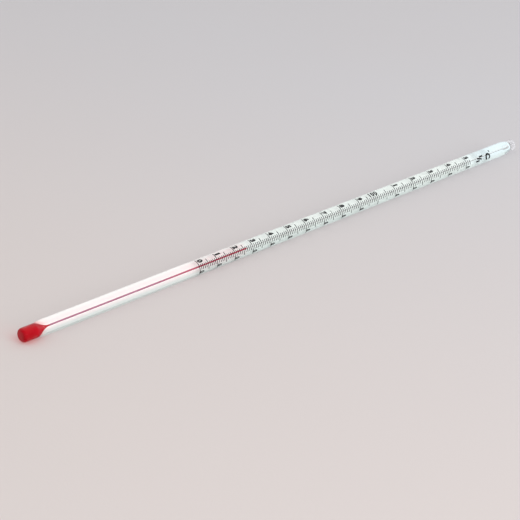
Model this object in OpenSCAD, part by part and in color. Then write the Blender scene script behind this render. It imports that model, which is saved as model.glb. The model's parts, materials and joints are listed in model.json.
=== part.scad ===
// Solid-stem laboratory thermometer, red spirit filled, with a white-backed stem and a glass ring.
// It lies along +X with the bulb at -X. The origin is under its middle, where the stem rests.

/* [Glass stem] */
// Length over all, from the bulb's end to the top of the ring
overall_l = 300; // [220:1:400]
// Outside diameter of the stem
stem_d = 6.5; // [6:0.1:9]
// Diameter of the capillary bore
bore_d = 0.38; // [0.25:0.01:0.5]
// Length of the rounded shoulder that closes the stem's top
shoulder_l = 7.7; // [5:0.1:12]
// Diameter of the flat at the top of the shoulder, where the ring is fused on
tip_d = 2.9; // [2.6:0.1:4]

/* [Foot of the stem] */
// Length over which the stem's foot widens from the bulb's diameter to its own
flare_l = 5.2; // [2:0.1:7]
// Length of the funnel that narrows from the bulb's inside to the bore
funnel_l = 5.8; // [3:0.1:9]
// How hollow the funnel's outline is: 1 is a straight cone
funnel_curve = 1.6; // [1:0.05:2.5]
// Length of bore between the funnel and the foot of the column that stretches
neck_l = 0.7; // [0.3:0.1:2]

/* [Expansion chamber] */
// Diameter of the chamber at the top of the bore
chamber_d = 0.9; // [0.6:0.05:1.4]
// Length of the chamber between its two cones
chamber_l = 3; // [1:0.5:6]
// Length of each cone that closes the chamber
chamber_cone_l = 1; // [0.5:0.1:2]
// Solid glass above the chamber
chamber_cap = 2; // [1.5:0.1:4]

/* [Enamel strip] */
// Thickness of the white strip behind the bore
strip_t = 0.3; // [0.15:0.05:0.5]
// Glass behind the strip
strip_cover = 1.1; // [0.6:0.05:1.2]
// Degrees round the stem that the strip covers
strip_wrap = 92; // [50:1:120]
// Degrees that the strip lies off the back of the scale
strip_turn = 16; // [-20:1:20]
// Bare glass between the bulb's joint and the strip's lower end
strip_foot_gap = 2; // [1.8:0.1:6]
// Bare glass between the strip's upper end and the tip
strip_end_gap = 0.6; // [0.3:0.1:2]

/* [Bulb] */
// Length of the bulb piece, from its closed end to the fused joint with the stem
bulb_l = 6.5; // [4:0.5:30]
// Outside diameter of the bulb
bulb_d = 5.8; // [5:0.1:6]
// Wall of the bulb, and of its closed end
bulb_wall = 0.4; // [0.3:0.05:0.8]
// Outside radius of the closed end's corner
bulb_corner_r = 1.4; // [1:0.1:2.5]

/* [Spirit] */
// Temperature that the column shows
reading = 28; // [10:1:150]
// Length of the top of the column, which rises and falls
head_l = 12; // [5:0.5:30]
// Depth of the hollow meniscus
meniscus_h = 0.08; // [0.03:0.01:0.09]
// Gap between the spirit and the glass
spirit_gap = 0.03; // [0.01:0.01:0.05]

/* [Scale] */
// Distance from the bulb's closed end to the zero line
zero_z = 89.5; // [60:0.5:110]
// Bare stem between the top numbered line and the shoulder
scale_top_gap = 27.8; // [20:0.1:50]
// Temperature of the top numbered line
scale_top = 150; // [100:10:200]
// Single degrees drawn past the top numbered line
overrun = 2; // [0:1:4]
// How much wider the degrees grow up the scale, as spirit expands faster when hot
spirit_growth = 0.158; // [0:0.001:0.3]
// Width of every line
line_w = 0.34; // [0.1:0.01:0.4]
// How far the fired lines stand proud of the glass
line_t = 0.04; // [0.02:0.01:0.08]
// Degrees round the stem that a single degree line covers
degree_wrap = 50; // [20:1:60]
// Degrees round the stem that a fifth line covers
five_wrap = 81; // [50:1:100]
// Degrees round the stem that a tenth line covers
ten_wrap = 124; // [90:1:150]
// Degrees from straight up to the scale's middle, as the thermometer lies
scale_roll = 62; // [0:1:90]

/* [Ring] */
// Outside diameter of the ring
ring_d = 5.2; // [5:0.1:8]
// Diameter of the glass rod that the ring is bent from
ring_rod_d = 1.5; // [1.2:0.1:2]
// Depth that the ring sinks past the top of the stem as it is fused on
ring_sink = 0.4; // [0.2:0.05:0.6]
// Length of the melted foot between the ring and the stem
ring_foot_l = 0.9; // [0.5:0.05:1.1]
// Diameter of the foot where it meets the ring
ring_foot_d = 2.2; // [1.8:0.1:2.8]

/* [Hidden] */
$fn = 96;

stem_r = stem_d / 2;
bulb_r = bulb_d / 2;
bore_r = bore_d / 2;
tip_r = tip_d / 2;
column_r = bore_r - spirit_gap;

// Heights along the stem, from the bulb's closed end
tip_z = overall_l - ring_d + ring_sink;
shoulder_z = tip_z - shoulder_l;
chamber_top_z = tip_z - chamber_cap;
chamber_z = chamber_top_z - chamber_l - 2 * chamber_cone_l;
thread_z = bulb_l + funnel_l + neck_l;
strip_z = bulb_l + strip_foot_gap;
strip_top_z = tip_z - strip_end_gap;
ring_z = overall_l - ring_d / 2;

// Share of the stem's radius that lies inside each face of the strip
strip_out = (stem_r - strip_cover) / stem_r;
strip_in = strip_out - strip_t / stem_r;

// Steps that draw the flare, the shoulder and the funnel
curve_steps = 12;
// Extra length by which a cut runs past a face
over = 1;

function shoulder_point(a) = [tip_r + (stem_r - tip_r) * cos(a), shoulder_z + shoulder_l * sin(a)];
function flare_point(u) = [bulb_r + (stem_r - bulb_r) * (1 - cos(180 * u)) / 2, bulb_l + flare_l * u];

// Outline of the funnel, or of the spirit in it where a gap is given
function funnel_points(gap) =
    let (wide = bulb_r - bulb_wall - gap, narrow = bore_r - gap)
    [for (i = [0 : curve_steps])
        let (u = i / curve_steps)
        [narrow + (wide - narrow) * pow(1 - u, funnel_curve), bulb_l + funnel_l * u]];

// Height of a temperature on the scale
function mark_z(t) =
    zero_z
    + (shoulder_z - scale_top_gap - zero_z)
    * (t / scale_top) * (1 + spirit_growth * t / scale_top) / (1 + spirit_growth);

head_z = mark_z(reading);
thread_top_z = head_z - head_l;

// Lays a piece drawn along +Z, with the scale facing +X, down along the thermometer's axis
module laid_down() {
    translate([-overall_l / 2, 0, stem_r])
        rotate([180 + scale_roll, 0, 0])
            rotate([0, 90, 0])
                children();
}

// The stem's outline from the bulb's joint to its tip
module stem_outline() {
    polygon(concat(
        [[0, bulb_l]],
        [for (i = [0 : curve_steps]) flare_point(i / curve_steps)],
        [for (i = [0 : curve_steps]) shoulder_point(90 * i / curve_steps)],
        [[0, tip_z]]
    ));
}

// The funnel, the capillary and the small chamber that takes the spirit if it is overheated
module bore_outline() {
    chamber_r = chamber_d / 2;
    polygon(concat(
        [[0, bulb_l - over], [bulb_r - bulb_wall, bulb_l - over]],
        funnel_points(0),
        [
            [bore_r, chamber_z],
            [chamber_r, chamber_z + chamber_cone_l],
            [chamber_r, chamber_top_z - chamber_cone_l],
            [0, chamber_top_z]
        ]
    ));
}

// One face of the strip, followed up the shoulder where the glass was drawn thinner
function strip_face(share) =
    let (last = asin((strip_top_z - shoulder_z) / shoulder_l))
    concat(
        [[share * stem_r, strip_z]],
        [for (i = [0 : curve_steps])
            let (p = shoulder_point(last * i / curve_steps)) [share * p[0], p[1]]]
    );

module strip_solid() {
    inner = strip_face(strip_in);
    outer = strip_face(strip_out);
    rotate([0, 0, 180 + strip_turn - strip_wrap / 2])
        rotate_extrude(angle = strip_wrap)
            polygon(concat(outer, [for (i = [len(inner) - 1 : -1 : 0]) inner[i]]));
}

// Inside of the bulb and of the funnel above it, or the spirit in them where a gap is given
module reservoir_outline(gap) {
    wide = bulb_r - bulb_wall - gap;
    end_z = bulb_wall + gap;
    corner = bulb_corner_r - bulb_wall - gap;
    translate([0, end_z])
        square([wide - corner, corner]);
    translate([wide - corner, end_z + corner])
        intersection() {
            circle(corner);
            translate([0, -corner])
                square(corner);
        }
    polygon(concat(
        [[0, end_z + corner], [wide, end_z + corner]],
        funnel_points(gap),
        [[bore_r - gap, thread_z], [0, thread_z]]
    ));
}

module degree_line(t, wrap) {
    translate([0, 0, mark_z(t) - line_w / 2])
        rotate([0, 0, -wrap / 2])
            rotate_extrude(angle = wrap)
                translate([stem_r, 0])
                    square([line_t, line_w]);
}

module stem() {
    color([0.86, 0.93, 0.91, 0.35])
        laid_down()
            difference() {
                rotate_extrude() stem_outline();
                rotate_extrude() bore_outline();
                strip_solid();
            }
}

module bulb() {
    color([0.9, 0.93, 0.93, 0.35])
        laid_down()
            rotate_extrude()
                difference() {
                    union() {
                        square([bulb_r - bulb_corner_r, bulb_corner_r]);
                        translate([0, bulb_corner_r])
                            square([bulb_r, bulb_l - bulb_corner_r]);
                        translate([bulb_r - bulb_corner_r, bulb_corner_r])
                            intersection() {
                                circle(bulb_corner_r);
                                translate([0, -bulb_corner_r])
                                    square(bulb_corner_r);
                            }
                    }
                    reservoir_outline(0);
                }
}

module enamel_strip() {
    color("white")
        laid_down()
            strip_solid();
}

module hanging_ring() {
    ring_r = (ring_d - ring_rod_d) / 2;
    color([0.86, 0.9, 0.93, 0.35])
        laid_down()
            union() {
                difference() {
                    translate([0, 0, ring_z])
                        rotate([0, 90, 0])
                            rotate_extrude()
                                translate([ring_r, 0])
                                    circle(d = ring_rod_d);
                    translate([-ring_d, -ring_d, tip_z - ring_d])
                        cube([2 * ring_d, 2 * ring_d, ring_d]);
                }
                translate([0, 0, tip_z])
                    cylinder(h = ring_foot_l, d1 = tip_d, d2 = ring_foot_d);
            }
}

module bulb_spirit() {
    color([0.8, 0.05, 0.1])
        laid_down()
            rotate_extrude() reservoir_outline(spirit_gap);
}

module spirit_thread() {
    color([0.8, 0.05, 0.1])
        laid_down()
            translate([0, 0, thread_z])
                cylinder(h = thread_top_z - thread_z, r = column_r);
}

module spirit_head() {
    meniscus_r = (column_r * column_r + meniscus_h * meniscus_h) / (2 * meniscus_h);
    color([0.8, 0.05, 0.1])
        laid_down()
            difference() {
                translate([0, 0, thread_top_z])
                    cylinder(h = head_l + meniscus_h, r = column_r);
                translate([0, 0, head_z + meniscus_r])
                    sphere(meniscus_r);
            }
}

module degree_lines() {
    color([0.12, 0.13, 0.14])
        laid_down()
            for (t = [0 : scale_top + overrun])
                if (t % 5 != 0)
                    degree_line(t, degree_wrap);
}

module five_degree_lines() {
    color([0.12, 0.13, 0.14])
        laid_down()
            for (t = [5 : 10 : scale_top])
                degree_line(t, five_wrap);
}

module ten_degree_lines() {
    color([0.12, 0.13, 0.14])
        laid_down()
            for (t = [0 : 10 : scale_top])
                degree_line(t, ten_wrap);
}

stem();
bulb();
enamel_strip();
hanging_ring();
bulb_spirit();
spirit_thread();
spirit_head();
degree_lines();
five_degree_lines();
ten_degree_lines();
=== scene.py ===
import json
import math

import bmesh
import bpy
from mathutils import Euler, Matrix, Vector


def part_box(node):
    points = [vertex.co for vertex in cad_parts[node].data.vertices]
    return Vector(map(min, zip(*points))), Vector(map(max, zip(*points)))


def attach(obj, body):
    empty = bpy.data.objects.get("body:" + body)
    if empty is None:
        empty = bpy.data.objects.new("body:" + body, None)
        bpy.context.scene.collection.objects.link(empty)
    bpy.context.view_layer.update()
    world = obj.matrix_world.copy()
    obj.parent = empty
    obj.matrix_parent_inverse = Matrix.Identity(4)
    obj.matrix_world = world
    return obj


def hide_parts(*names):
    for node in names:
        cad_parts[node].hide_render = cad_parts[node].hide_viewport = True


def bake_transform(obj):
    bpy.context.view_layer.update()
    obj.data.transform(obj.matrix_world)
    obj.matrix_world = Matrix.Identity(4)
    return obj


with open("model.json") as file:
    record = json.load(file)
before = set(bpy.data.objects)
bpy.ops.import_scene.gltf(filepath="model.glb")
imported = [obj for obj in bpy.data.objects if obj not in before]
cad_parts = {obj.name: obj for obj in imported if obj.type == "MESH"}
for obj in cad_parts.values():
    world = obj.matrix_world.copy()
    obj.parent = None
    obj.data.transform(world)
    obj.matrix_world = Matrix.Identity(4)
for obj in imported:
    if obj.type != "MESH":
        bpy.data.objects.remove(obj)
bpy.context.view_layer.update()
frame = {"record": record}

# Sizes below are millimetres, and heights run along the stem from the bulb's closed end
mm = 0.001
wallMount = frame["record"]["mounts"][0]
stemRadius = wallMount["dims"]["r_mm"]
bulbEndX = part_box("bulb")[0].x
axisZ = wallMount["pos_m"][2]


def heightOf(x):
    return (x - bulbEndX) / mm


jointHeight = heightOf(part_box("bulb")[1].x)
tipHeight = heightOf(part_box("stem")[1].x)
ringTopHeight = heightOf(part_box("hanging_ring")[1].x)
threadFootHeight = heightOf(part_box("spirit_thread")[0].x)
threadTopHeight = heightOf(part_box("spirit_head")[0].x)
headTopHeight = heightOf(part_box("spirit_head")[1].x)

# The scale faces this way as the thermometer lies: local x out of the scale, y to its right, z to the ring
scaleRoll = math.radians(62)
scaleFront = Vector((0, -math.sin(scaleRoll), math.cos(scaleRoll)))
scaleRight = Vector((1, 0, 0)).cross(scaleFront)
layDown = Matrix.Identity(4)
for row in range(3):
    layDown[row][0] = scaleFront[row] * mm
    layDown[row][1] = scaleRight[row] * mm
    layDown[row][2] = (mm, 0, 0)[row]
    layDown[row][3] = (bulbEndX, 0, axisZ)[row]


# Camera at the photo's angle
cameraSpec = {
    "place": (-0.53793, -0.51175, 0.30026),
    "azimuth": -45.1767,
    "elevation": 22.7712,
    "roll": -0.4385,
    "lens": 130.2,
    "sensor": 36,
    "clipStart": 0.02,
    "clipEnd": 30,
}


def addCamera(spec):
    data = bpy.data.cameras.new("photoCamera")
    data.lens = spec["lens"]
    data.sensor_width = spec["sensor"]
    data.clip_start = spec["clipStart"]
    data.clip_end = spec["clipEnd"]
    camera = bpy.data.objects.new("photoCamera", data)
    camera.location = spec["place"]
    level = Euler((math.radians(90 - spec["elevation"]), 0, math.radians(spec["azimuth"])))
    rolled = Matrix.Rotation(math.radians(spec["roll"]), 3, "Z")
    camera.rotation_euler = (level.to_matrix() @ rolled).to_euler()
    bpy.context.scene.collection.objects.link(camera)
    bpy.context.scene.camera = camera
    print("camera placed")


addCamera(cameraSpec)


# Shared effects, each a node group that puts out a value between 0 and 1
def newGroup(name, inputs):
    group = bpy.data.node_groups.new(name, "ShaderNodeTree")
    group.interface.new_socket("Vector", in_out="INPUT", socket_type="NodeSocketVector")
    for label, value in inputs.items():
        socket = group.interface.new_socket(label, in_out="INPUT", socket_type="NodeSocketFloat")
        socket.default_value = value
    group.interface.new_socket("Mask", in_out="OUTPUT", socket_type="NodeSocketFloat")
    return group, group.nodes.new("NodeGroupInput"), group.nodes.new("NodeGroupOutput")


def makeMottle():
    # soft clouds, from Low to High
    group, entry, result = newGroup("cloudyMottle", {"Scale": 5.0, "Detail": 3.0, "Low": 0.35, "High": 0.65})
    noise = group.nodes.new("ShaderNodeTexNoise")
    spread = group.nodes.new("ShaderNodeMapRange")
    group.links.new(entry.outputs["Vector"], noise.inputs["Vector"])
    group.links.new(entry.outputs["Scale"], noise.inputs["Scale"])
    group.links.new(entry.outputs["Detail"], noise.inputs["Detail"])
    group.links.new(noise.outputs["Fac"], spread.inputs["Value"])
    group.links.new(entry.outputs["Low"], spread.inputs["From Min"])
    group.links.new(entry.outputs["High"], spread.inputs["From Max"])
    group.links.new(spread.outputs["Result"], result.inputs["Mask"])
    return group


def makeStreaks():
    # long fine lines that drawing the glass leaves along the stem
    group, entry, result = newGroup("drawnStreaks", {"Across": 900.0, "Along": 6.0})
    size = group.nodes.new("ShaderNodeCombineXYZ")
    stretch = group.nodes.new("ShaderNodeVectorMath")
    stretch.operation = "MULTIPLY"
    noise = group.nodes.new("ShaderNodeTexNoise")
    noise.inputs["Scale"].default_value = 1.0
    noise.inputs["Detail"].default_value = 2.0
    group.links.new(entry.outputs["Along"], size.inputs["X"])
    group.links.new(entry.outputs["Across"], size.inputs["Y"])
    group.links.new(entry.outputs["Across"], size.inputs["Z"])
    group.links.new(entry.outputs["Vector"], stretch.inputs[0])
    group.links.new(size.outputs["Vector"], stretch.inputs[1])
    group.links.new(stretch.outputs["Vector"], noise.inputs["Vector"])
    group.links.new(noise.outputs["Fac"], result.inputs["Mask"])
    return group


def makeReach():
    # 0 before Start and 1 past End, along the thermometer
    group, entry, result = newGroup("reachAlongStem", {"Start": -0.15, "End": 0.15})
    parts = group.nodes.new("ShaderNodeSeparateXYZ")
    spread = group.nodes.new("ShaderNodeMapRange")
    spread.interpolation_type = "SMOOTHSTEP"
    group.links.new(entry.outputs["Vector"], parts.inputs["Vector"])
    group.links.new(parts.outputs["X"], spread.inputs["Value"])
    group.links.new(entry.outputs["Start"], spread.inputs["From Min"])
    group.links.new(entry.outputs["End"], spread.inputs["From Max"])
    group.links.new(spread.outputs["Result"], result.inputs["Mask"])
    return group


def makeAcross():
    # 0 before Start and 1 past End, measured over the scale towards its right
    group, entry, result = newGroup("acrossStem", {"Start": -0.001, "End": 0.001})
    measure = group.nodes.new("ShaderNodeVectorMath")
    measure.operation = "DOT_PRODUCT"
    measure.inputs[1].default_value = scaleRight
    spread = group.nodes.new("ShaderNodeMapRange")
    spread.interpolation_type = "SMOOTHSTEP"
    group.links.new(entry.outputs["Vector"], measure.inputs[0])
    group.links.new(measure.outputs["Value"], spread.inputs["Value"])
    group.links.new(entry.outputs["Start"], spread.inputs["From Min"])
    group.links.new(entry.outputs["End"], spread.inputs["From Max"])
    group.links.new(spread.outputs["Result"], result.inputs["Mask"])
    return group


cloudyMottle = makeMottle()
drawnStreaks = makeStreaks()
reachAlongStem = makeReach()
acrossStem = makeAcross()
axisAcross = scaleRight.z * axisZ  # the bore's place on that measure


class Palette:
    # a material with its nodes, and short ways to wire them
    def __init__(self, name):
        self.material = bpy.data.materials.new(name)
        self.material.use_nodes = True
        self.tree = self.material.node_tree
        self.tree.nodes.clear()
        self.output = self.add("ShaderNodeOutputMaterial")
        self.place = self.add("ShaderNodeTexCoord").outputs["Object"]

    def add(self, kind):
        return self.tree.nodes.new(kind)

    def wire(self, source, target):
        self.tree.links.new(source, target)

    def effect(self, group, **values):
        node = self.add("ShaderNodeGroup")
        node.node_tree = group
        self.wire(self.place, node.inputs["Vector"])
        for label, value in values.items():
            node.inputs[label].default_value = value
        return node.outputs["Mask"]

    def blendColours(self, mask, first, second):
        node = self.add("ShaderNodeMix")
        node.data_type = "RGBA"
        self.wire(mask, node.inputs["Factor"])
        for socket, colour in ((node.inputs[6], first), (node.inputs[7], second)):
            if isinstance(colour, bpy.types.NodeSocket):
                self.wire(colour, socket)
            else:
                socket.default_value = (*colour, 1)
        return node.outputs[2]

    def rescale(self, mask, low, high):
        node = self.add("ShaderNodeMapRange")
        self.wire(mask, node.inputs["Value"])
        node.inputs["To Min"].default_value = low
        node.inputs["To Max"].default_value = high
        return node.outputs["Result"]

    def bump(self, mask, depth, strength=1.0):
        node = self.add("ShaderNodeBump")
        node.inputs["Distance"].default_value = depth
        node.inputs["Strength"].default_value = strength
        self.wire(mask, node.inputs["Height"])
        return node.outputs["Normal"]

    def principled(self, colour, roughness, normal=None, **values):
        node = self.add("ShaderNodeBsdfPrincipled")
        for label, value in values.items():
            node.inputs[label.replace("_", " ")].default_value = value
        for label, value in (("Base Color", colour), ("Roughness", roughness), ("Normal", normal)):
            if isinstance(value, bpy.types.NodeSocket):
                self.wire(value, node.inputs[label])
            elif value is not None:
                node.inputs[label].default_value = value
        return node.outputs["BSDF"]

    def facingAway(self, start, end):
        # 0 where the surface faces the eye, 1 where it turns away
        node = self.add("ShaderNodeLayerWeight")
        spread = self.add("ShaderNodeMapRange")
        self.wire(node.outputs["Facing"], spread.inputs["Value"])
        spread.inputs["From Min"].default_value = start
        spread.inputs["From Max"].default_value = end
        return spread.outputs["Result"]

    def letThrough(self, shader, rays, tint):
        # those rays cross the surface unbent, in this tint
        path = self.add("ShaderNodeLightPath")
        for ray in rays:
            clear = self.add("ShaderNodeBsdfTransparent")
            if isinstance(tint, bpy.types.NodeSocket):
                self.wire(tint, clear.inputs["Color"])
            else:
                clear.inputs["Color"].default_value = (*tint, 1)
            mix = self.add("ShaderNodeMixShader")
            self.wire(path.outputs[ray], mix.inputs["Fac"])
            self.wire(shader, mix.inputs[1])
            self.wire(clear.outputs["BSDF"], mix.inputs[2])
            shader = mix.outputs["Shader"]
        return shader

    def done(self, shader):
        self.wire(shader, self.output.inputs["Surface"])
        return self.material


glassFinish = {
    "dust": {"Scale": 160.0, "Detail": 4.0, "Low": 0.45, "High": 0.8},
    "streaks": {"Across": 1400.0, "Along": 9.0},
    "streakStrength": 0.4,
    "cleanRoughness": 0.01,
    "dustyRoughness": 0.05,
    "refraction": 1.5,
    "shadeStart": 0.3,
    "shadeEnd": 0.8,
}
glassLook = {
    "stem": {
        "clear": (0.985, 0.998, 0.992),
        "cloudy": (0.962, 0.985, 0.977),
        "edgeShade": (0.60, 0.56, 0.62),
        "streakDepth": 0.000004,
        "shine": (1.0, 1.0, 1.0, 1.0),
        "clearness": 1.0,
    },
    "bulb": {
        "clear": (0.985, 0.985, 0.985),
        "cloudy": (0.965, 0.97, 0.97),
        "edgeShade": (0.85, 0.80, 0.82),
        "streakDepth": 0.000003,
        "shine": (0.2, 0.2, 0.2, 1.0),
        "clearness": 1.0,
    },
    "ring": {
        "clear": (0.97, 0.98, 1.0),
        "cloudy": (0.945, 0.965, 0.98),
        "edgeShade": (0.6, 0.6, 0.65),
        "streakDepth": 0.000003,
        "shine": (1.0, 1.0, 1.0, 1.0),
        # a share of milky white: partly the ring's own cloudy glass, partly painted reflection of the bright
        # room
        "clearness": 0.85,
    },
}


def clearGlass(name, look):
    # fire polished glass: smooth, with faint drawn streaks and a breath of dust
    paint = Palette(name)
    finish = glassFinish
    dust = paint.effect(cloudyMottle, **finish["dust"])
    streaks = paint.effect(drawnStreaks, **finish["streaks"])
    shader = paint.principled(
        paint.blendColours(dust, look["clear"], look["cloudy"]),
        paint.rescale(dust, finish["cleanRoughness"], finish["dustyRoughness"]),
        paint.bump(streaks, look["streakDepth"], finish["streakStrength"]),
        Transmission_Weight=look["clearness"],
        IOR=finish["refraction"],
        Specular_Tint=look["shine"],
    )
    # light that crosses near the edge of the rod is bent away, so the edges throw a faint shadow
    edge = paint.facingAway(finish["shadeStart"], finish["shadeEnd"])
    shade = paint.blendColours(edge, look["clear"], look["edgeShade"])
    return paint.done(paint.letThrough(shader, ("Is Diffuse Ray", "Is Shadow Ray"), shade))


def fusedSeam():
    # where two pieces of glass are melted together there is no surface left to see
    paint = Palette("fusedSeam")
    return paint.done(paint.principled((0.95, 0.98, 0.97, 1), 0.0, Alpha=0.0, IOR=glassFinish["refraction"]))


# warm near the bulb, then mint, then sky near the ring, and painted shade along the lower edge
enamelLook = {
    "warm": (0.955, 0.955, 0.945),
    "mint": (0.89, 0.95, 0.925),
    "mintStart": -0.045,
    "mintEnd": -0.02,
    "sky": (0.77, 0.885, 0.93),
    "skyStart": 0.105,
    "skyEnd": 0.128,
    # painted shade for the ribbon's lower edge, also the colour that the streaks darken towards
    "lowerShadeAndStreaks": (0.65, 0.725, 0.71),
    "lowerShadeStart": axisAcross + 0.15 * mm,
    "lowerShadeEnd": axisAcross + 0.85 * mm,
    "streaks": {"Across": 2200.0, "Along": 14.0},
    "streakShare": 0.12,
    "roughness": 0.4,
}


def whiteEnamel(look):
    # opal glass drawn into the stem, so it is streaked lengthways
    paint = Palette("whiteEnamel")
    reach = paint.effect(reachAlongStem, Start=look["mintStart"], End=look["mintEnd"])
    streaks = paint.effect(drawnStreaks, **look["streaks"])
    # painted shade: the ribbon turns darker and greener below the bore, as if less lit there
    edge = paint.effect(acrossStem, Start=look["lowerShadeStart"], End=look["lowerShadeEnd"])
    farReach = paint.effect(reachAlongStem, Start=look["skyStart"], End=look["skyEnd"])
    base = paint.blendColours(farReach, paint.blendColours(reach, look["warm"], look["mint"]), look["sky"])
    lowerShaded = paint.blendColours(edge, base, look["lowerShadeAndStreaks"])
    drawn = paint.blendColours(paint.rescale(streaks, 0.0, look["streakShare"]), lowerShaded, look["lowerShadeAndStreaks"])
    return paint.done(paint.principled(drawn, look["roughness"], Specular_IOR_Level=0.0))


spiritFinish = {
    "cloud": {"Scale": 240.0, "Detail": 2.0, "Low": 0.3, "High": 0.7},
    "rimShadeStart": 0.42,
    "rimShadeEnd": 0.78,
    "roughness": 0.2,
}
# the far colours take over between farStart and farEnd: in the funnel, and where the scale begins
spiritLook = {
    "bulb": {
        "deep": (0.41, 0.002, 0.008),
        "pale": (0.50, 0.004, 0.012),
        # rim: painted shade where the spirit turns away from the eye
        "rim": (0.16, 0.001, 0.006),
        "farDeep": (0.44, 0.003, 0.012),
        "farPale": (0.52, 0.005, 0.018),
        "farStart": -0.1445,
        "farEnd": -0.1425,
        "lampTint": (0.95, 0.08, 0.14),
        "rays": ("Is Diffuse Ray", "Is Shadow Ray"),
    },
    "column": {
        "deep": (0.37, 0.13, 0.21),
        "pale": (0.42, 0.16, 0.25),
        # rim: painted shade where the spirit turns away from the eye
        "rim": (0.34, 0.11, 0.19),
        "farDeep": (0.50, 0.02, 0.06),
        "farPale": (0.56, 0.03, 0.08),
        "farStart": -0.09,
        "farEnd": -0.045,
        "lampTint": (0.95, 0.4, 0.5),
        "rays": ("Is Shadow Ray",),
    },
}


def redSpirit(name, look):
    # dyed spirit: lamps reach through it and leave red light behind
    paint = Palette(name)
    finish = spiritFinish
    cloud = paint.effect(cloudyMottle, **finish["cloud"])
    body = paint.blendColours(cloud, look["deep"], look["pale"])
    # painted shade: the spirit darkens to its rim colour at its edges, where it turns away from the eye
    turned = paint.blendColours(paint.facingAway(finish["rimShadeStart"], finish["rimShadeEnd"]), body, look["rim"])
    farBody = paint.blendColours(cloud, look["farDeep"], look["farPale"])
    reach = paint.effect(reachAlongStem, Start=look["farStart"], End=look["farEnd"])
    colour = paint.blendColours(reach, turned, farBody)
    shader = paint.principled(colour, finish["roughness"], Specular_IOR_Level=0.0)
    return paint.done(paint.letThrough(shader, look["rays"], look["lampTint"]))


printLook = {
    "black": (0.010, 0.011, 0.013),
    "worn": (0.05, 0.048, 0.046),
    "wear": {"Scale": 1800.0, "Detail": 4.0, "Low": 0.52, "High": 0.78},
    "wearDepth": 0.00001,
    "wearStrength": 0.5,
    "freshRoughness": 0.32,
    "wornRoughness": 0.55,
    "gloss": 0.2,
}


def firedBlack(look):
    # thin black enamel, a little worn and uneven
    paint = Palette("firedBlack")
    worn = paint.effect(cloudyMottle, **look["wear"])
    shader = paint.principled(
        paint.blendColours(worn, look["black"], look["worn"]),
        paint.rescale(worn, look["freshRoughness"], look["wornRoughness"]),
        paint.bump(worn, look["wearDepth"], look["wearStrength"]),
        Specular_IOR_Level=look["gloss"],
    )
    return paint.done(shader)


stemClear = clearGlass("stemGlass", glassLook["stem"])
bulbClear = clearGlass("bulbGlass", glassLook["bulb"])
ringClear = clearGlass("ringGlass", glassLook["ring"])
seamClear = fusedSeam()
enamelWhite = whiteEnamel(enamelLook)
spiritRed = redSpirit("redSpirit", spiritLook["bulb"])
columnRed = redSpirit("columnSpirit", spiritLook["column"])
scaleBlack = firedBlack(printLook)
print("materials made")


# Ways to make a piece
weldReach = 0.0005  # points closer than this become one
cutReach = 0.0001  # and a cut passes through points this close to it
seamReach = 0.001
roundCrease = 40  # degrees past which an edge is shaded sharp
printCrease = 30


def evenShares(steps):
    return [i / steps for i in range(steps + 1)]


def arc(centre, radius, start, end, steps):
    # points from one angle to the other, in degrees, as distance from the axis and height
    angles = [math.radians(start + (end - start) * i / steps) for i in range(steps + 1)]
    return [(centre[0] + radius * math.cos(a), centre[1] + radius * math.sin(a)) for a in angles]


def lathe(outline, steps):
    bm = bmesh.new()
    verts = [bm.verts.new((r, 0, z)) for r, z in outline]
    edges = [bm.edges.new(pair) for pair in zip(verts, verts[1:])]
    bmesh.ops.spin(
        bm, geom=verts + edges, cent=(0, 0, 0), axis=(0, 0, 1), angle=math.tau, steps=steps, use_merge=True
    )
    bmesh.ops.remove_doubles(bm, verts=bm.verts, dist=weldReach)
    bmesh.ops.recalc_face_normals(bm, faces=bm.faces)
    return bm


def markSeam(bm, height):
    # faces in the flat where glass is fused to glass take the second material
    for face in bm.faces:
        if all(abs(v.co.z - height) < seamReach for v in face.verts):
            face.material_index = 1


def finishPiece(bm, name, materials, creaseAngle=roundCrease):
    bmesh.ops.transform(bm, matrix=layDown, verts=bm.verts)
    mesh = bpy.data.meshes.new(name)
    bm.to_mesh(mesh)
    bm.free()
    mesh.shade_smooth()
    mesh.set_sharp_from_angle(angle=math.radians(creaseAngle))
    for material in materials:
        mesh.materials.append(material)
    piece = bpy.data.objects.new(name, mesh)
    bpy.context.scene.collection.objects.link(piece)
    print(name, len(mesh.vertices), "points")
    return piece


def rideAlong(piece, body, *replaced):
    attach(piece, body)
    if replaced:
        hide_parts(*replaced)


stemSpec = {
    "boreRadius": 0.19,
    "flareLength": 5.2,
    "funnelLength": 5.8,
    "funnelCurve": 1.6,
    "shoulderLength": 7.7,
    "tipRadius": 1.45,
    "chamberRadius": 0.45,
    "chamberTop": 2.0,
    "chamberLength": 3.0,
    "coneLength": 1.0,
    "domeShare": 0.55,
    "domeDrop": 0.12,
    "boreLoop": 0.5,  # rings of points set off from each bend, so that straight walls shade flat
    "wallLoop": 0.6,
    "steps": 128,
    "curveSteps": 24,
}
shoulderHeight = tipHeight - stemSpec["shoulderLength"]
bulbSpec = {
    "wall": 0.4,
    "cornerRadius": 1.4,
    "wallLoop": 0.3,
    "insideSteps": 16,
    "outsideSteps": 20,
    "steps": 128,
}
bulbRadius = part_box("bulb")[1].z / mm - axisZ / mm


def shoulderRadius(height):
    # the stem's radius where it is drawn in to its tip
    rise = min(max((height - shoulderHeight) / stemSpec["shoulderLength"], 0), 1)
    tip = stemSpec["tipRadius"]
    return tip + (stemRadius - tip) * math.sqrt(1 - rise * rise)


def funnelPoints(grow):
    # from the bulb's inside at the joint to the bore
    wide = bulbRadius - bulbSpec["wall"] + grow
    narrow = stemSpec["boreRadius"] + grow
    return [(narrow + (wide - narrow) * (1 - share) ** stemSpec["funnelCurve"],
             jointHeight + stemSpec["funnelLength"] * share) for share in evenShares(stemSpec["curveSteps"])]


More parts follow.
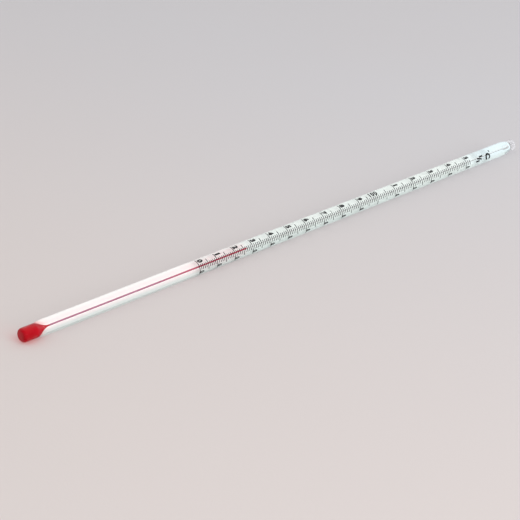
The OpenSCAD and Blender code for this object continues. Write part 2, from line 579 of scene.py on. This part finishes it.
def makeStem(spec):
    top = tipHeight - spec["chamberTop"]
    wide = spec["chamberRadius"]
    low = top - spec["chamberLength"] - 2 * spec["coneLength"]
    bore = spec["boreRadius"]
    chamber = [(0, top), (wide * spec["domeShare"], top - spec["domeDrop"]), (wide, top - spec["coneLength"])]
    chamber += [(wide, low + spec["coneLength"]), (bore, low), (bore, low - spec["boreLoop"])]
    chamber += [(bore, jointHeight + spec["funnelLength"] + spec["boreLoop"])] + funnelPoints(0)[::-1]
    shares = evenShares(spec["curveSteps"])
    wall = [(bulbRadius + (stemRadius - bulbRadius) * (1 - math.cos(math.pi * share)) / 2,
             jointHeight + spec["flareLength"] * share) for share in shares]
    wall.append((stemRadius, jointHeight + spec["flareLength"] + spec["wallLoop"]))
    wall.append((stemRadius, shoulderHeight - spec["wallLoop"]))
    turns = [math.pi / 2 * share for share in shares]
    drawnIn = stemRadius - spec["tipRadius"]
    shoulder = [
        (spec["tipRadius"] + drawnIn * math.cos(a), shoulderHeight + spec["shoulderLength"] * math.sin(a))
        for a in turns
    ]
    bm = lathe(chamber + wall + shoulder + [(0, tipHeight)], spec["steps"])
    markSeam(bm, jointHeight)
    markSeam(bm, tipHeight)
    rideAlong(finishPiece(bm, "stemGlass", [stemClear, seamClear]), "thermometer", "stem")


makeStem(stemSpec)


def cupInside(grow):
    # the inside of the bulb, from its closed end to the joint
    wide = bulbRadius - bulbSpec["wall"] + grow
    end = bulbSpec["wall"] - grow
    corner = bulbSpec["cornerRadius"] - bulbSpec["wall"] + grow
    outline = [(0, end)] + arc((wide - corner, end + corner), corner, -90, 0, bulbSpec["insideSteps"])
    return outline + [(wide, jointHeight - bulbSpec["wallLoop"])]


def makeBulb(spec):
    corner = spec["cornerRadius"]
    skin = [(0, 0)] + arc((bulbRadius - corner, corner), corner, -90, 0, spec["outsideSteps"])
    skin += [(bulbRadius, corner + spec["wallLoop"]), (bulbRadius, jointHeight)]
    inside = cupInside(0) + [funnelPoints(0)[0]]
    bm = lathe(skin + inside[::-1], spec["steps"])
    markSeam(bm, jointHeight)
    rideAlong(finishPiece(bm, "bulbGlass", [bulbClear, seamClear]), "thermometer", "bulb")


makeBulb(bulbSpec)


ringSpec = {
    "outside": 5.2,
    "rod": 1.5,
    "rootSwell": 0.22,
    "footLength": 1.5,
    "footTop": 0.95,
    "footSunk": 0.5,
    "footPinch": 1.8,
    "rodSteps": 28,
    "loopSteps": 72,
    "footSteps": 12,
    "footSides": 64,
    "voxel": 0.07,
    "smoothing": 6,
    "smoothShare": 0.5,
}


def makeRing(spec):
    # a loop of rod, thicker where it was melted on, and the foot that it stands on
    radius = (spec["outside"] - spec["rod"]) / 2
    middle = ringTopHeight - spec["outside"] / 2
    bm = bmesh.new()
    place = Matrix.Translation((0, 0, middle + radius))
    place = place @ Matrix.Rotation(math.pi / 2, 4, "Y") @ Matrix.Rotation(math.pi / 2, 4, "X")
    made = bmesh.ops.create_circle(bm, segments=spec["rodSteps"], radius=spec["rod"] / 2, matrix=place)
    loop = made["verts"] + list({e for v in made["verts"] for e in v.link_edges})
    bmesh.ops.spin(
        bm, geom=loop, cent=(0, 0, middle), axis=(1, 0, 0), angle=math.tau, steps=spec["loopSteps"],
        use_merge=True,
    )
    bmesh.ops.remove_doubles(bm, verts=bm.verts, dist=weldReach)
    for vert in bm.verts:
        outward = Vector((0, vert.co.y, vert.co.z - middle)).normalized()
        core = Vector((0, 0, middle)) + outward * radius
        near = max(-outward.z, 0) ** 3
        vert.co = core + (vert.co - core) * (1 + spec["rootSwell"] * near)
    foot = [(0, tipHeight - spec["footSunk"]), (stemSpec["tipRadius"], tipHeight - spec["footSunk"])]
    for share in evenShares(spec["footSteps"]):
        pinch = (1 - share) ** spec["footPinch"]
        foot.append((spec["footTop"] + (stemSpec["tipRadius"] - spec["footTop"]) * pinch,
                     tipHeight + spec["footLength"] * share))
    foot.append((0, tipHeight + spec["footLength"]))
    footMesh = bpy.data.meshes.new("foot")
    footPart = lathe(foot, spec["footSides"])
    footPart.to_mesh(footMesh)
    footPart.free()
    bm.from_mesh(footMesh)
    bmesh.ops.recalc_face_normals(bm, faces=bm.faces)
    rough = bpy.data.meshes.new("ringGlass")
    bm.to_mesh(rough)
    bm.free()
    melted = bpy.data.objects.new("melted", rough)
    bpy.context.scene.collection.objects.link(melted)
    remesh = melted.modifiers.new("melt", "REMESH")
    remesh.mode = "VOXEL"
    remesh.voxel_size = spec["voxel"]
    smooth = melted.modifiers.new("polish", "SMOOTH")
    smooth.factor = spec["smoothShare"]
    smooth.iterations = spec["smoothing"]
    bpy.context.view_layer.update()
    shaped = bpy.data.meshes.new_from_object(melted.evaluated_get(bpy.context.evaluated_depsgraph_get()))
    bpy.data.objects.remove(melted)
    bm = bmesh.new()
    bm.from_mesh(shaped)
    cut = bmesh.ops.bisect_plane(
        bm, geom=bm.verts[:] + bm.edges[:] + bm.faces[:], dist=cutReach,
        plane_co=(0, 0, tipHeight), plane_no=(0, 0, -1), clear_outer=True,
    )
    rim = [e for e in cut["geom_cut"] if isinstance(e, bmesh.types.BMEdge)]
    for vert in {v for e in rim for v in e.verts}:
        flat = Vector((vert.co.x, vert.co.y, 0)).normalized() * stemSpec["tipRadius"]
        vert.co = (flat.x, flat.y, tipHeight)
    bmesh.ops.edgeloop_fill(bm, edges=rim)
    bmesh.ops.recalc_face_normals(bm, faces=bm.faces)
    markSeam(bm, tipHeight)
    piece = finishPiece(bm, "ringGlass", [ringClear, seamClear])
    rideAlong(piece, "thermometer", "hanging_ring")


makeRing(ringSpec)


stripSpec = {
    "inner": 0.57,  # share of the stem's radius
    "thickness": 0.3,
    "wrap": 92,
    "turn": 16,
    "footGap": 2.0,
    "endGap": 0.6,
    "twist": 14,
    "twistStart": 281,
    "twistEnd": 293,
    "steps": 24,
    "curveSteps": 14,
}


def makeStrip(spec):
    # a ribbon of enamel behind the bore, drawn in and twisted a little where the stem was melted off
    inner = spec["inner"] * stemRadius
    outer = inner + spec["thickness"]
    middle = 180 + spec["turn"]
    first = middle - spec["wrap"] / 2
    last = middle + spec["wrap"] / 2
    section = arc((0, 0), outer, first, last, spec["steps"]) + arc((0, 0), inner, last, first, spec["steps"])
    start = jointHeight + spec["footGap"]
    end = tipHeight - spec["endGap"]
    melted = spec["twistEnd"] - spec["twistStart"]
    heights = [start] + [spec["twistStart"] + i for i in range(int(shoulderHeight - spec["twistStart"]))]
    heights += [shoulderHeight + (end - shoulderHeight) * i / spec["curveSteps"]
                for i in range(spec["curveSteps"] + 1)]
    bm = bmesh.new()
    faces = [bm.faces.new([bm.verts.new((x, y, start)) for x, y in section])]
    height, drawn, turned = start, 1.0, 0.0
    for nextHeight in heights[1:]:
        nextDrawn = shoulderRadius(nextHeight) / stemRadius
        share = min(max((nextHeight - spec["twistStart"]) / melted, 0), 1)
        nextTurned = math.radians(spec["twist"]) * share * share
        made = bmesh.ops.extrude_face_region(bm, geom=faces)
        top = [item for item in made["geom"] if isinstance(item, bmesh.types.BMVert)]
        if height > start:
            bmesh.ops.delete(bm, geom=faces, context="FACES_ONLY")
        faces = [item for item in made["geom"] if isinstance(item, bmesh.types.BMFace)]
        bmesh.ops.scale(bm, verts=top, vec=(nextDrawn / drawn, nextDrawn / drawn, 1))
        bmesh.ops.rotate(bm, verts=top, cent=(0, 0, 0), matrix=Matrix.Rotation(nextTurned - turned, 3, "Z"))
        bmesh.ops.translate(bm, verts=top, vec=(0, 0, nextHeight - height))
        height, drawn, turned = nextHeight, nextDrawn, nextTurned
    bmesh.ops.recalc_face_normals(bm, faces=bm.faces)
    rideAlong(finishPiece(bm, "enamelStrip", [enamelWhite]), "thermometer", "enamel_strip")


makeStrip(stripSpec)


spiritSpec = {
    "wetting": 0.004,
    "meniscus": 0.08,
    "meniscusSteps": 6,
    "wallLoop": 0.3,
    "threadRings": 60,
    "steps": 48,
}


def makeSpirit(spec):
    # the spirit wets its glass, so it is a hair wider than the hollow that holds it
    radius = stemSpec["boreRadius"] + spec["wetting"]
    reservoir = cupInside(spec["wetting"]) + funnelPoints(spec["wetting"])
    reservoir += [(radius, threadFootHeight), (0, threadFootHeight)]
    piece = finishPiece(lathe(reservoir, bulbSpec["steps"]), "bulbSpirit", [spiritRed])
    rideAlong(piece, "thermometer", "bulb_spirit")

    rings = spec["threadRings"]
    length = threadTopHeight - threadFootHeight
    wall = [(radius, threadFootHeight + length * i / rings) for i in range(rings + 1)]
    outline = [(0, threadFootHeight)] + wall + [(0, threadTopHeight)]
    thread = finishPiece(lathe(outline, spec["steps"]), "spiritThread", [columnRed])
    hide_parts("spirit_thread")
    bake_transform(thread)

    steps = spec["meniscusSteps"]
    turns = [math.pi / 2 * i / steps for i in range(steps + 1)]
    hollow = [(radius * math.cos(a), headTopHeight - spec["meniscus"] * math.sin(a)) for a in turns]
    outline = [(0, threadTopHeight), (radius, threadTopHeight), (radius, headTopHeight - spec["wallLoop"])]
    outline += hollow
    head = finishPiece(lathe(outline, spec["steps"]), "spiritHead", [columnRed])
    rideAlong(head, "spirit_column", "spirit_head")


makeSpirit(spiritSpec)


scaleSpec = {
    "lineWidth": 0.34,
    "lineTop": 0.012,
    "lineSunk": 0.02,
    "topNumber": 150,
    "overrun": 2,
    "growth": 0.158,
    "degreeWrap": 42,
    "degreeTurn": 4,
    "degreeSteps": 8,
    "fiveWrap": 81,
    "fiveSteps": 16,
    "tenWrap": 124,
    "tenSteps": 24,
}
zeroHeight = heightOf(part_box("ten_degree_lines")[0].x) + scaleSpec["lineWidth"] / 2
topHeight = heightOf(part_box("ten_degree_lines")[1].x) - scaleSpec["lineWidth"] / 2


def markHeight(degrees):
    # spirit expands faster when hot, so the degrees grow up the scale
    share = degrees / scaleSpec["topNumber"]
    growth = scaleSpec["growth"]
    return zeroHeight + (topHeight - zeroHeight) * share * (1 + growth * share) / (1 + growth)


def makeLines(name, node, marks, wrap, turn, steps):
    # each line is a thin band of enamel, swept round the front of the stem
    inner = stemRadius - scaleSpec["lineSunk"]
    outer = stemRadius + scaleSpec["lineTop"]
    half = scaleSpec["lineWidth"] / 2
    first = Matrix.Rotation(math.radians(turn - wrap / 2), 4, "Z")
    bm = bmesh.new()
    for degrees in marks:
        height = markHeight(degrees)
        low = height - half
        high = height + half
        corners = ((inner, low), (outer, low), (outer, high), (inner, high))
        face = bm.faces.new([bm.verts.new(first @ Vector((r, 0, z))) for r, z in corners])
        bmesh.ops.spin(
            bm, geom=face.verts[:] + face.edges[:] + [face], cent=(0, 0, 0), axis=(0, 0, 1),
            angle=math.radians(wrap), steps=steps,
        )
    bmesh.ops.remove_doubles(bm, verts=bm.verts, dist=weldReach)
    bmesh.ops.recalc_face_normals(bm, faces=bm.faces)
    rideAlong(finishPiece(bm, name, [scaleBlack], printCrease), "thermometer", node)


def makeScale(spec):
    last = spec["topNumber"] + spec["overrun"]
    singles = [degrees for degrees in range(last + 1) if degrees % 5]
    fives = range(5, last, 10)
    tens = range(0, last, 10)
    turn = spec["degreeTurn"]
    makeLines("degreeLines", "degree_lines", singles, spec["degreeWrap"], turn, spec["degreeSteps"])
    makeLines("fiveDegreeLines", "five_degree_lines", fives, spec["fiveWrap"], 0, spec["fiveSteps"])
    makeLines("tenDegreeLines", "ten_degree_lines", tens, spec["tenWrap"], 0, spec["tenSteps"])


makeScale(scaleSpec)


# left numbers stand for the tens and right ones for the units, and 100 is turned along the stem
letterSpec = {
    "height": 2.35,
    "fontShare": 0.73,
    "bold": 0.07,
    "oneBold": 0.09,
    "rightBold": 0.054,
    "thickness": 0.03,
    "top": 0.012,
    "cut": 0.3,
    "weldReach": 0.001,
    "curveSteps": 4,
    "leftGap": 0.72,
    "rightGap": -0.1,
    "rightHeight": 2.5,
    "rightNarrow": 0.55,
    "leftAngle": -42,
    "rightAngle": 44,
    "hundredBold": 0.05,
    "hundredHeight": 2.3,
    "hundredSpacing": 1.25,
    "hundredDrop": 1.6,
}


def letterMesh(text, height, bold, spacing, narrow):
    # flat letters in millimetres, centred, standing on their baseline
    curve = bpy.data.curves.new("letters", "FONT")
    curve.body = text
    curve.size = height / letterSpec["fontShare"]
    curve.align_x = "CENTER"
    curve.space_character = spacing
    curve.offset = bold * curve.size
    curve.extrude = letterSpec["thickness"] / 2
    curve.resolution_u = letterSpec["curveSteps"]
    holder = bpy.data.objects.new("letters", curve)
    bpy.context.scene.collection.objects.link(holder)
    bpy.context.view_layer.update()
    mesh = bpy.data.meshes.new_from_object(holder.evaluated_get(bpy.context.evaluated_depsgraph_get()))
    bpy.data.objects.remove(holder)
    mesh.transform(Matrix.Diagonal((narrow, 1, 1, 1)))
    return mesh


def wrapLetters(target, text, height, angle, base, bold, turned=False, spacing=1.0, narrow=1.0):
    # base is the baseline's height, or for turned letters the middle of the word
    bm = bmesh.new()
    bm.from_mesh(letterMesh(text, height, bold, spacing, narrow))
    bmesh.ops.remove_doubles(bm, verts=bm.verts, dist=letterSpec["weldReach"])
    side = 1 if turned else 0
    extent = [v.co[side] for v in bm.verts]
    place = min(extent)
    while place < max(extent):
        normal = (0, 1, 0) if turned else (1, 0, 0)
        bmesh.ops.bisect_plane(
            bm, geom=bm.verts[:] + bm.edges[:] + bm.faces[:], dist=cutReach,
            plane_co=[c * place for c in normal], plane_no=normal,
        )
        place += letterSpec["cut"]
    middle = (min(v.co.y for v in bm.verts) + max(v.co.y for v in bm.verts)) / 2
    for vert in bm.verts:
        u, v, out = vert.co
        radius = stemRadius + letterSpec["top"] - letterSpec["thickness"] / 2 + out
        if turned:
            around = math.radians(angle) - (v - middle) / stemRadius
            height = base + u
        else:
            around = math.radians(angle) + u / stemRadius
            height = base + v
        vert.co = (radius * math.cos(around), radius * math.sin(around), height)
    bmesh.ops.recalc_face_normals(bm, faces=bm.faces)
    mesh = bpy.data.meshes.new("wrapped")
    bm.to_mesh(mesh)
    bm.free()
    target.from_mesh(mesh)


def makeNumbers(spec):
    bm = bmesh.new()
    for degrees in range(0, scaleSpec["topNumber"] + 1, 10):
        mark = markHeight(degrees)
        if degrees == 100:
            wrapLetters(bm, "100", spec["hundredHeight"], spec["leftAngle"], mark - spec["hundredDrop"],
                        spec["hundredBold"], turned=True, spacing=spec["hundredSpacing"])
            continue
        digit = str(degrees // 10 % 10)
        bold = spec["oneBold"] if digit == "1" else spec["bold"]
        wrapLetters(bm, digit, spec["height"], spec["leftAngle"], mark + spec["leftGap"], bold)
        wrapLetters(bm, "0", spec["rightHeight"], spec["rightAngle"], mark + spec["rightGap"],
                    spec["rightBold"], narrow=spec["rightNarrow"])
    rideAlong(finishPiece(bm, "scaleNumbers", [scaleBlack], printCrease), "thermometer")


makeNumbers(letterSpec)


# each sign's letters: text, size, boldness, degrees round the stem and height of the middle
signSpec = (
    ("1", 2.2, 0.07, -7, 270.6),
    ("/", 2.9, 0.06, 9, 269.3),
    ("1", 2.2, 0.07, 25, 268.0),
    ("o", 1.1, 0.06, -24, 277.4),
    ("C", 3.0, 0.07, 13, 275.5),
)


def makeSigns(spec):
    bm = bmesh.new()
    for text, size, bold, angle, height in spec:
        wrapLetters(bm, text, size, angle, height - size / 2, bold)
    rideAlong(finishPiece(bm, "unitSigns", [scaleBlack], printCrease), "thermometer")


makeSigns(signSpec)


# Pale floor with a curved rise all round, and soft studio light
studioSpec = {
    "floorWarm": (0.715, 0.66, 0.645),
    "floorCool": (0.665, 0.66, 0.685),
    "floorPatch": (0.67, 0.62, 0.615),
    "tintReach": {"Start": -0.2, "End": 0.2},
    "patches": {"Scale": 2.2, "Detail": 2.0, "Low": 0.3, "High": 0.7},
    "patchShare": 0.3,
    "grain": {"Scale": 900.0, "Detail": 3.0, "Low": 0.3, "High": 0.7},
    "grainDepth": 0.00004,
    "grainStrength": 0.3,
    "roughness": 0.9,
    "gloss": 0.1,
    "floorRadius": 2.4,
    "flatShare": 0.5,
    "floorDrop": 0.00002,
    "riseRadius": 0.8,
    "riseSteps": 16,
    "floorSteps": 96,
    "worldColour": (1.0, 0.99, 0.985),
    "worldStrength": 0.74,
}
lampSpecs = (
    {
        "name": "softWindow",
        "place": (-0.1, -1.25, 0.68),
        "size": 1.1,
        "power": 11.6,
        "colour": (1.0, 0.985, 0.975),
    },
    {
        "name": "lowLamp",
        "place": (-0.15, -1.35, 0.25),
        "size": 0.2,
        "power": 1.5,
        "colour": (1.0, 0.99, 0.98),
    },
)
lightBounces = 20
clearBounces = 24


def floorMaterial(spec):
    paint = Palette("paleBoard")
    reach = paint.effect(reachAlongStem, **spec["tintReach"])
    patches = paint.effect(cloudyMottle, **spec["patches"])
    grain = paint.effect(cloudyMottle, **spec["grain"])
    board = paint.blendColours(reach, spec["floorWarm"], spec["floorCool"])
    shader = paint.principled(
        paint.blendColours(paint.rescale(patches, 0.0, spec["patchShare"]), board, spec["floorPatch"]),
        spec["roughness"],
        paint.bump(grain, spec["grainDepth"], spec["grainStrength"]),
        Specular_IOR_Level=spec["gloss"],
    )
    return paint.done(shader)


def makeWorld(spec):
    # an even soft light, seen as plain white by the eye and in the glass
    world = bpy.data.worlds.new("studioWorld")
    world.use_nodes = True
    tree = world.node_tree
    light = tree.nodes["Background"]
    light.inputs["Color"].default_value = (*spec["worldColour"], 1)
    light.inputs["Strength"].default_value = spec["worldStrength"]
    seen = tree.nodes.new("ShaderNodeBackground")
    seen.inputs["Color"].default_value = (1, 1, 1, 1)
    path = tree.nodes.new("ShaderNodeLightPath")
    shader = light.outputs["Background"]
    for ray in ("Is Camera Ray", "Is Glossy Ray", "Is Transmission Ray"):
        mix = tree.nodes.new("ShaderNodeMixShader")
        tree.links.new(path.outputs[ray], mix.inputs["Fac"])
        tree.links.new(shader, mix.inputs[1])
        tree.links.new(seen.outputs["Background"], mix.inputs[2])
        shader = mix.outputs["Shader"]
    tree.links.new(shader, tree.nodes["World Output"].inputs["Surface"])
    return world


def makeStudio(spec):
    outline = [(0, 0), (spec["floorRadius"] * spec["flatShare"], 0)]
    outline += arc((spec["floorRadius"], spec["riseRadius"]), spec["riseRadius"], -90, 0, spec["riseSteps"])
    bm = lathe(outline, spec["floorSteps"])
    bmesh.ops.translate(bm, verts=bm.verts, vec=(0, 0, -spec["floorDrop"]))
    for face in bm.faces:
        if face.normal.z < 0:
            face.normal_flip()
    mesh = bpy.data.meshes.new("studioFloor")
    bm.to_mesh(mesh)
    bm.free()
    mesh.shade_smooth()
    mesh.materials.append(floorMaterial(spec))
    floor = bpy.data.objects.new("studioFloor", mesh)
    bpy.context.scene.collection.objects.link(floor)

    bpy.context.scene.world = makeWorld(spec)


def addLamps(specs):
    for spec in specs:
        data = bpy.data.lights.new(spec["name"], "AREA")
        data.size = spec["size"]
        data.energy = spec["power"]
        data.color = spec["colour"]
        lamp = bpy.data.objects.new(spec["name"], data)
        lamp.location = spec["place"]
        lamp.rotation_euler = (-Vector(spec["place"])).to_track_quat("-Z", "Y").to_euler()
        bpy.context.scene.collection.objects.link(lamp)


makeStudio(studioSpec)
addLamps(lampSpecs)
scene = bpy.context.scene
scene.view_settings.view_transform = "Standard"
scene.cycles.max_bounces = lightBounces
scene.cycles.transmission_bounces = lightBounces
scene.cycles.transparent_max_bounces = clearBounces
print("studio lit")
